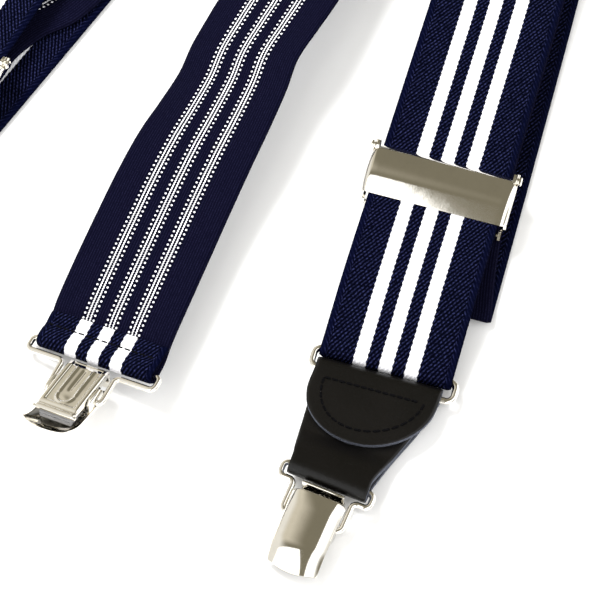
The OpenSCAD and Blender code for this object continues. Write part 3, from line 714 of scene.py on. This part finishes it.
def build_front_strap(side):
    line = front_line(side)
    hw = [WEB_HW] * len(line)
    ob, length = ribbon("front_webbing_" + side, line, hw, WEB_T, 1.4, 36, place=place_of(side))
    dress(ob, FACE, BACK, EDGE)
    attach(ob, "root")
    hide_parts("front_strap_" + side)
    return ob, length


def build_return(side):
    line = return_line(side)
    ob, length = ribbon("return_webbing_" + side, line, [WEB_HW - 0.2] * len(line), WEB_T, 1.2, 30,
                        place=place_of(side))
    dress(ob, FACE, BACK, EDGE)
    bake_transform(ob)
    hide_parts("strap_return_" + side)
    return ob, length


def build_back_strap():
    line = back_line()
    hw = [HEM_HW + (WEB_HW - HEM_HW) * min(max((p[1] - HEM_BAR[1] + 3) / 14, 0), 1) for p in line]
    ob, length = ribbon("back_webbing", line, hw, WEB_T, 1.2, 36)
    dress(ob, FACE, BACK, EDGE)
    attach(ob, "root")
    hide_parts("back_strap")
    return ob, length


for side in ("right", "left"):
    strap, long = build_front_strap(side)
    run, long = build_return(side)
back, long = build_back_strap()


# ---------- Hem seam ----------

def row(length, pitch, gap=0.22):
    """Start and end of each stitch along x, about 0."""
    n = int(length / pitch)
    return [(-length / 2 + i * pitch + gap / 2, -length / 2 + (i + 1) * pitch - gap / 2) for i in range(n)]


hem_seam = hem_at(HEM_SEAM_Y, HEM_LOOP_R - 0.85 + WEB_T / 2)
seam_place = moved(*hem_seam[:3]) @ turned("Z", HEM_TURN) @ turned("Y", -HEM_ROLL)
hem_row = [((a, 0, 0), (b, 0, 0)) for a, b in row(2 * HEM_HW - 1, 2.3)]
seam = stitches("hem_seam", hem_row, (0, 0, 1), 0.05, 0.26, seam_place)
dress(seam, THREAD)
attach(seam, "root")
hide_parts("back_hem_stitching")


# ---------- Leather tabs ----------

def ease(t):
    s = min(max(t, 0), 1)
    return s * s * (3 - 2 * s)


def tab_place(y, z):
    down = ease((-RING_HALF_H - y) / (-RING_HALF_H - TAB_LOW_Y))
    return np.array([TAB_TOP_X + (TAB_SHIFT - TAB_TOP_X) * down, y, z, TAB_TURN * down, 0])


def tab_hw(y):
    return TAB_TOP_HW + (TAB_LOW_HW - TAB_TOP_HW) * min(max((-RING_HALF_H - y) / 27, 0), 1)


def flap_hw(y):
    s = min(max((-7 - y) / (-7 - FLAP_END_Y), 0), 1)
    return TAB_TOP_HW * math.sqrt(max(1 - s * s, 0.0004))


def tab_line():
    low_dz = TAB_LOW_Z - RING_Z
    rises = [1 - math.cos(math.pi / 2 * k / 48) for k in range(49)]
    flap = [tab_place(FLAP_END_Y + (-RING_HALF_H - FLAP_END_Y) * up, TAB_LOOP_R) for up in rises]
    bend = half_turn((TAB_TOP_X, -RING_HALF_H, 0), 0, 0, TAB_LOOP_R, 1, 84, -84, 20)
    back_run = smooth_run([
        tab_place(-RING_HALF_H, -TAB_LOOP_R), tab_place(-12, -TAB_LOOP_R), tab_place(-22, -TAB_LOOP_R + 0.4),
        tab_place(TAB_LOW_Y, low_dz - TAB_LOW_LOOP_R)], 10)
    low = half_turn((TAB_SHIFT, TAB_LOW_Y, low_dz), TAB_TURN, 0, TAB_LOW_LOOP_R, -1, -84, 84, 22)
    front = smooth_run([
        tab_place(TAB_LOW_Y, low_dz + TAB_LOW_LOOP_R), tab_place(-28, low_dz + 1.2), tab_place(-22.8, 0.25),
        tab_place(-19, 0), tab_place(-7, 0)], 10)
    line = flap + bend + back_run + low + front
    hw = [flap_hw(p[1]) if i < len(flap) else tab_hw(p[1]) for i, p in enumerate(line)]
    return line, hw


def build_tab(side):
    line, hw = tab_line()
    ob, _ = ribbon("tab_leather_" + side, line, hw, TAB_T, 0.5, 40,
                   edge_r=0.3, edge_h=0.85, place=side_frame(side))
    dress(ob, LEATHER_BACK, LEATHER, LEATHER_EDGE)
    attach(ob, "tab_" + side)
    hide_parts("leather_tab_" + side)
    top = TAB_LOOP_R + TAB_T / 2 + 0.02
    half, row_y, depth = 13.2, -6.2, 11.8
    mid = tab_place(row_y, 0)[0]
    lines = [((mid + a, row_y, top), (mid + b, row_y, top)) for a, b in row(2 * half, 1.9)]
    steps = 18
    arc = [(half * math.cos(math.pi * (1 + k / steps)), row_y + depth * math.sin(math.pi * (1 + k / steps)))
           for k in range(steps + 1)]
    shifted = [(x + tab_place(y, 0)[0], y) for x, y in arc]
    for (x0, y0), (x1, y1) in zip(shifted, shifted[1:]):
        lines.append(((x0 + (x1 - x0) * 0.06, y0 + (y1 - y0) * 0.06, top),
                      (x1 - (x1 - x0) * 0.06, y1 - (y1 - y0) * 0.06, top)))
    thread = stitches("tab_seam_" + side, lines, (0, 0, 1), 0.1, 0.3, side_frame(side))
    dress(thread, THREAD)
    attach(thread, "tab_" + side)
    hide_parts("tab_stitching_" + side)


for side in ("right", "left"):
    build_tab(side)


# ---------- Pressed metal ----------

def sheet_patch(name, xs, ys, outer, inner, place):
    """A pressed sheet over a grid: outer(x, y) and inner(x, y) are points on its outside and inside."""
    verts = [outer(x, y) for y in ys for x in xs] + [inner(x, y) for y in ys for x in xs]
    m, n = len(xs), len(ys)
    low = m * n
    faces = []
    for j in range(n - 1):
        for i in range(m - 1):
            a = j * m + i
            faces += [(a, a + 1, a + m + 1, a + m), (low + a, low + a + m, low + a + m + 1, low + a + 1)]
    border = ([(i, 0) for i in range(m - 1)] + [(m - 1, j) for j in range(n - 1)]
              + [(i, n - 1) for i in range(m - 1, 0, -1)] + [(0, j) for j in range(n - 1, 0, -1)])
    ring = [j * m + i for i, j in border]
    faces += [(a, low + a, low + b, b) for a, b in zip(ring, ring[1:] + ring[:1])]
    ob = new_mesh(name, verts, faces, place)
    fix_normals(ob)
    rounded(ob, 0.14, angle=50)
    return ob


def plate_z(u, y):
    d = max(-7 - y, 0)
    return 3.4 - 0.03 * max(y - 2, 0) ** 2 - 0.062 * d * d - 0.9 * u * u - 1.1 * u ** 6


def build_plate(side):
    place = clip_frame(side)

    def spot(u, v, drop):
        tip = PLATE_TIP_Y + 1.5 * u * u
        y = PLATE_TOP_Y + (tip - PLATE_TOP_Y) * v - 0.35 * u ** 10 * (1 - v) ** 6
        return ((PLATE_HW + PLATE_FLARE * (1 - v)) * u, y, plate_z(u, y) - drop)

    parts = [sheet_patch("shell", np.linspace(-1, 1, 41), np.linspace(0, 1, 49),
                         lambda u, v: spot(u, v, 0), lambda u, v: spot(u, v, PLATE_T), place)]
    ear = [(-3.6, 1.7), (-3.3, -1.7), (-2.1, -3.0), (2.1, -3.0), (3.3, -1.7), (3.6, 1.7)]
    for x in (EAR_OUT_X - EAR_T, -EAR_OUT_X):
        parts.append(extruded("ear", ear, (0, 0, PIN_HOLE_R), x, x + EAR_T, place, 0.12))
    ob = joined("plate_" + side, parts)
    dress(ob, NICKEL)
    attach(ob, "clip_" + side)
    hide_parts("clip_plate_" + side)


JAW_FLOOR = [(-9.3, -2.4), (-6, -2.8), (0, -3.35), (6.5, -3.75), (8.5, -3.3)]


def jaw_relief(x, y):
    """How far the pressed tray lies inside the jaw's outer line."""
    far = 1 - ease((abs(x) - (JAW_HW - 1.6)) / 0.5)
    end = ease((y + 6.6) / 0.6)
    sunk = 0.34 * far * end
    rail = math.exp(-((abs(x) - 2.35) / 0.36) ** 2) * ease((y + 3.4) / 0.8) * ease((7.2 - y) / 0.8)
    turn_r = math.hypot(x, min(y + 3.4, 0))
    bend = math.exp(-((turn_r - 2.35) / 0.36) ** 2) * ease((-3.0 - y) / 0.6)
    slot = math.exp(-(x / 0.5) ** 2) * ease((y + 2.2) / 1.5) * ease((6.8 - y) / 1.0)
    dimple = math.exp(-((x / 1.3) ** 2 + ((y + 4.3) / 0.9) ** 2))
    return sunk - 0.3 * max(rail, bend) * far + 0.22 * slot - 0.16 * dimple


def build_jaw(side):
    place = clip_frame(side)
    ys = [p[0] for p in JAW_FLOOR]
    zs = [p[1] for p in JAW_FLOOR]

    def under(x, y):
        roll = max(abs(x) - (JAW_HW - 0.6), 0) / 0.6
        lip = 0.35 * math.exp(-((y + 7.6) / 0.5) ** 2)
        end = 0.5 * max((-8.6 - y) / 0.7, 0) ** 2
        return float(np.interp(y, ys, zs)) + jaw_relief(x, y) + 0.35 * roll ** 2 + lip + end

    wide = JAW_HW - 0.05
    parts = [sheet_patch("tray", np.linspace(-wide, wide, 61), np.linspace(-9.25, 8.4, 91),
                         lambda x, y: (x, y, under(x, y)),
                         lambda x, y: (x, y, float(np.interp(y, ys, zs)) + JAW_T + 0.25), place)]
    wall = [(8.3, -3.1), (8.1, -2.1), (3.2, -1.05), (2.4, 0.2), (1.4, 1.0), (-1.4, 1.0),
            (-2.4, 0.3), (-3.2, -0.45), (-9.0, -1.25), (-9.0, -2.0), (0, -3.0), (6.5, -3.4)]
    for x in (JAW_HW - JAW_T, -JAW_HW):
        parts.append(extruded("wall", wall, (0, 0, PIN_HOLE_R), x, x + JAW_T, place, 0.16))
    lip = [(-9.3, -1.9), (-9.1, -2.1), (-8.5, -2.05), (-8.5, -1.5), (-8.7, -1.3),
           (-9.15, -1.3), (-9.3, -1.45)]
    parts.append(extruded("lip", lip, None, -JAW_LIP_HW, JAW_LIP_HW, place, 0.12))
    thumb = [(7.8, -3.2), (8.5, -3.2), (8.5, 1.95), (8.35, 2.2), (7.95, 2.2), (7.8, 1.95)]
    parts.append(extruded("thumb", thumb, None, -JAW_HW + 0.1, JAW_HW - 0.1, place, 0.14))
    ob = joined("jaw_" + side, parts)
    dress(ob, NICKEL)
    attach(ob, "jaw_" + side)
    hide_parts("clip_jaw_" + side)


def build_cover(side):
    place = adjuster_frame(side)
    mid_y, mid_z = COVER_MID
    end_r = 1.7
    low = -math.acos((0.95 - mid_z) / COVER_R)
    high = math.acos((1.7 - mid_z) / COVER_R)

    def radius(x):
        over = max(abs(x) - (COVER_HW - end_r), 0)
        return COVER_R - 0.04 * (x / COVER_HW) ** 2 - (end_r - math.sqrt(max(end_r ** 2 - over ** 2, 0)))

    def spot(x, a, drop):
        r = radius(x) - drop
        return (x, mid_y + r * math.sin(a), mid_z + r * math.cos(a))

    flat = list(np.linspace(-COVER_HW + end_r, COVER_HW - end_r, 25))
    bend = [COVER_HW - end_r + end_r * math.sin(a) for a in np.linspace(0, math.pi / 2 * 0.96, 11)[1:]]
    xs = [-x for x in reversed(bend)] + flat + bend
    parts = [sheet_patch("arch", xs, np.linspace(low, high, 33), lambda x, a: spot(x, a, 0),
                         lambda x, a: spot(x, a, 0.75), place)]
    r = COVER_R - end_r + 0.05
    arc = [(mid_y + r * math.sin(a), mid_z + r * math.cos(a)) for a in np.linspace(-0.72, 0.62, 15)]
    wall = [(-8.2, -0.75)] + arc + [(6.9, 2.6), (6.95, 1.3), (5.6, 0.2), (5.4, -0.75)]
    for x in (COVER_HW - COVER_T, -COVER_HW):
        parts.append(extruded("wall", wall, (*ADJ_PIN, 0.85), x, x + COVER_T, place, 0.15))
    ob = joined("cover_" + side, parts)
    dress(ob, NICKEL)
    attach(ob, "adjuster_lid_" + side)
    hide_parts("adjuster_cover_" + side)


BOTH = ("right", "left")
ALL = ("right", "left", "back")
for side in ALL:
    build_plate(side)
    build_jaw(side)
for side in BOTH:
    build_cover(side)


# ---------- Carried-over CAD nodes ----------

def plate_finish(names, material):
    for name in names:
        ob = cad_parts[name]
        ob.data.materials.clear()
        ob.data.materials.append(material)


plate_finish(["strap_ring_" + s for s in BOTH] + ["clip_bail_" + s for s in ALL], WIRE)
plate_finish([n + s for s in BOTH for n in ("adjuster_frame_", "adjuster_pins_")], NICKEL)
plate_finish(["jaw_spring_" + s for s in ALL], SPRING)
plate_finish(["grip_pad_" + s for s in ALL], PLASTIC)
plate_finish(["yoke_front_leather", "yoke_back_leather"], LEATHER)
plate_finish(["yoke_stitching"], THREAD)


# ---------- Floor, lights and camera ----------

FLOOR_HALF = 3.0
FLOOR_Z = -0.0004
CARD = (0.225, 0.205, 0.15)
CARD_LEFT = (0.72, 0.67, 0.56)
CARD_FAR_LEFT = (0.95, 0.93, 0.88)
WINDOW = (2.0, 2.0, 2.0)
SIDE_WINDOW = (1.7, 1.7, 1.7)


def add_floor():
    me = bpy.data.meshes.new("floor")
    s, z = FLOOR_HALF, FLOOR_Z
    me.from_pydata([(-s, -s, z), (s, -s, z), (s, s, z), (-s, s, z)], [], [(0, 1, 2, 3)])
    floor = bpy.data.objects.new("floor", me)
    bpy.context.scene.collection.objects.link(floor)
    n = Surface("floor_paper")
    n.set(Base_Color=(0.93, 0.93, 0.93), Roughness=0.95, Specular_IOR_Level=0.0)
    me.materials.append(n.mat)


def add_area(name, at, target, size, power):
    """A soft light that shows in no reflection."""
    data = bpy.data.lights.new(name, "AREA")
    data.shape = "RECTANGLE"
    data.size, data.size_y = size
    data.energy = power
    ob = bpy.data.objects.new(name, data)
    ob.location = at
    ob.rotation_euler = (Vector(target) - Vector(at)).to_track_quat("-Z", "Y").to_euler()
    ob.visible_glossy = False
    bpy.context.scene.collection.objects.link(ob)


VIEW_TARGET = Vector((0.0412, -0.280, 0.0))
HEADING = 24.5
ELEVATION = 64.0
DISTANCE = 0.65
LENS = 149.4


def add_camera():
    data = bpy.data.cameras.new("camera")
    data.sensor_width = 36
    data.lens = LENS
    ob = bpy.data.objects.new("camera", data)
    h, e = math.radians(HEADING), math.radians(ELEVATION)
    look = Vector((-math.sin(h) * math.cos(e), math.cos(h) * math.cos(e), -math.sin(e)))
    ob.location = VIEW_TARGET - look * DISTANCE
    ob.rotation_euler = look.to_track_quat("-Z", "Y").to_euler()
    data.clip_start = 0.01
    bpy.context.scene.collection.objects.link(ob)
    bpy.context.scene.camera = ob


def in_view(right, up, height):
    """A place given as right and up in the picture and height above the floor, in metres."""
    h = math.radians(HEADING)
    r = Vector((math.cos(h), math.sin(h), 0))
    u = Vector((-math.sin(h), math.cos(h), 0))
    return VIEW_TARGET + r * right + u * up + Vector((0, 0, height))


def add_world():
    """A studio of olive card, paler on the left, with bright windows at the front left and the right."""
    world = bpy.data.worlds.new("studio")
    bpy.context.scene.world = world
    world.use_nodes = True
    tree = world.node_tree
    n = Nodes(tree)
    coord = tree.nodes.new("ShaderNodeTexCoord")
    split = tree.nodes.new("ShaderNodeSeparateXYZ")
    tree.links.new(coord.outputs["Generated"], split.inputs[0])
    h = math.radians(HEADING)
    x, y, _ = split.outputs
    right = n.math("ADD", n.math("MULTIPLY", x, math.cos(h)), n.math("MULTIPLY", y, math.sin(h)))
    back = n.math("ADD", n.math("MULTIPLY", x, -math.sin(h)), n.math("MULTIPLY", y, math.cos(h)))
    light = n.math("MULTIPLY", n.step(right, 0.05, -0.3), n.step(back, -0.1, 0.3))
    card = n.mix(light, CARD, CARD_LEFT)
    card = n.mix(n.step(right, -0.36, -0.7), card, CARD_FAR_LEFT)
    edge = n.math("MULTIPLY_ADD", back, 0.264, -0.105)
    reach = n.math("SUBTRACT", edge, right)
    window = n.math("MULTIPLY", n.step(reach, 0.0, 0.01), n.step(back, -0.14, -0.2))
    window = n.math("MULTIPLY", window, n.step(reach, 0.6, 0.5))
    colour = n.mix(window, card, WINDOW)
    rightward = n.math("SUBTRACT", right, n.math("MULTIPLY_ADD", back, 0.6, 0.33))
    side = n.math("MULTIPLY", n.step(rightward, 0.0, 0.03), n.step(rightward, 0.85, 0.6))
    colour = n.mix(side, colour, SIDE_WINDOW)
    tree.links.new(colour, tree.nodes["Background"].inputs["Color"])
    tree.nodes["Background"].inputs["Strength"].default_value = 1.0


add_floor()
add_camera()
add_world()
add_area("key", in_view(-0.45, 0.55, 0.9), VIEW_TARGET, (0.4, 0.4), 17)
add_area("fill", in_view(0.1, -0.3, 1.2), VIEW_TARGET, (1.2, 1.2), 3)
bpy.context.scene.view_settings.view_transform = "Standard"
